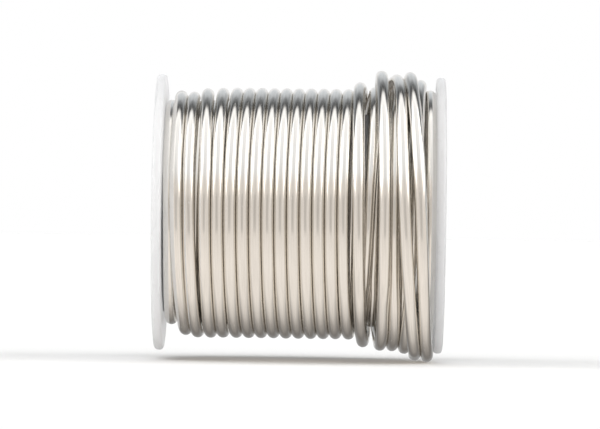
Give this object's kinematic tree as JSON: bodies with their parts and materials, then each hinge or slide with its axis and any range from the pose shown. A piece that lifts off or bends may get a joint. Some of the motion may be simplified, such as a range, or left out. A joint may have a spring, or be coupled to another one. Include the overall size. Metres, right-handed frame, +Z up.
{
  "type": "solder wire spool",
  "caption": "Flanged plastic spool wound with thick soft solder wire, with an arbor bore for a spindle and drive holes in both flanges.",
  "frame": {"origin": "centre of the arbor bore, midway between the two flanges", "axes": "+X along the spool's axis towards the flange that carries the label and the raised last turns, +Z up, -Y towards the viewer"},
  "size_m": [0.0698, 0.071, 0.071],
  "materials": {
    "spool_plastic": "satin white moulded plastic, slightly translucent",
    "tube_plastic": "plain white moulded plastic",
    "label_paper": "uncoated paper label with a plain printed ring and no lettering",
    "solder": "bright drawn tin solder, faintly streaked along the wire"
  },
  "bodies": {
    "root": {"left_flange": "spool_plastic", "right_flange": "spool_plastic", "barrel": "tube_plastic", "arbor_tube": "tube_plastic", "face_label": "label_paper", "wire_start_turn": "solder", "wire_first_layer": "solder", "wire_second_layer": "solder", "wire_third_layer": "solder", "wire_top_turns": "solder"}
  },
  "joints": []
}
